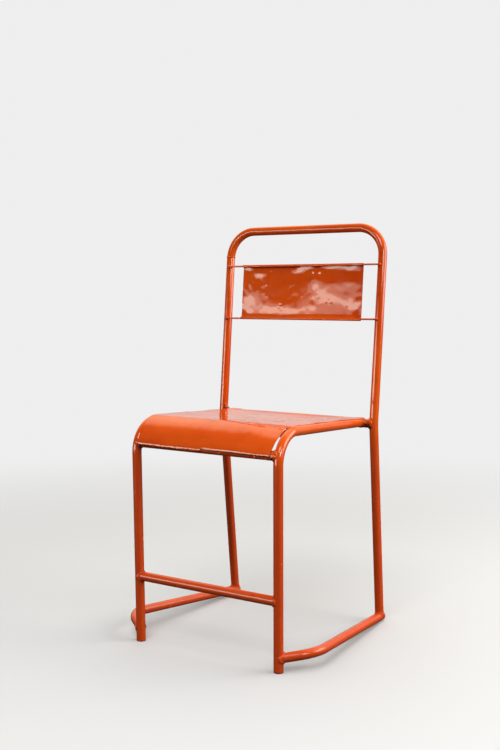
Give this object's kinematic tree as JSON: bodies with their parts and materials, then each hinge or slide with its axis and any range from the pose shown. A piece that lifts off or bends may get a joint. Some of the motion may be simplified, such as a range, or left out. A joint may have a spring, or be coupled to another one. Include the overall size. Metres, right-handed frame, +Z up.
{
  "type": "bistro chair",
  "caption": "Metal bistro chair: bent round tube frame, sheet steel seat rolled down over the front edge, open hoop back with a small sheet back panel on thin rods.",
  "frame": {"origin": "on the floor, in the middle of the chair's footprint", "axes": "+Z up; -Y is where a sitter faces; +X is to the right of someone who stands in front of the chair and looks at it"},
  "size_m": [0.4644, 0.4121, 0.8657],
  "materials": {
    "tube_paint": "thick glossy orange enamel on steel tube",
    "sheet_paint": "thick glossy orange enamel on slightly wavy sheet steel",
    "weld_paint": "glossy orange enamel over uneven weld metal",
    "foot_plastic": "dark moulded plastic, scuffed"
  },
  "bodies": {
    "root": {"back_hoop": "tube_paint", "side_frame_left": "tube_paint", "side_frame_right": "tube_paint", "front_seat_rail": "tube_paint", "rear_seat_rail": "tube_paint", "front_stretcher": "tube_paint", "floor_rail_left": "tube_paint", "floor_rail_right": "tube_paint", "rail_end_plug_left": "tube_paint", "rail_end_plug_right": "tube_paint", "backrest_rod_upper": "tube_paint", "backrest_rod_lower": "tube_paint", "seat_panel": "sheet_paint", "backrest_panel": "sheet_paint", "welds_stretcher": "weld_paint", "welds_front_seat_rail": "weld_paint", "welds_rear_seat_rail": "weld_paint", "welds_side_rails": "weld_paint", "welds_floor_rails_front": "weld_paint", "welds_rear_legs": "weld_paint", "welds_back_rods": "weld_paint", "welds_seat_panel": "weld_paint", "foot_plug_left": "foot_plastic", "foot_plug_right": "foot_plastic"}
  },
  "joints": []
}
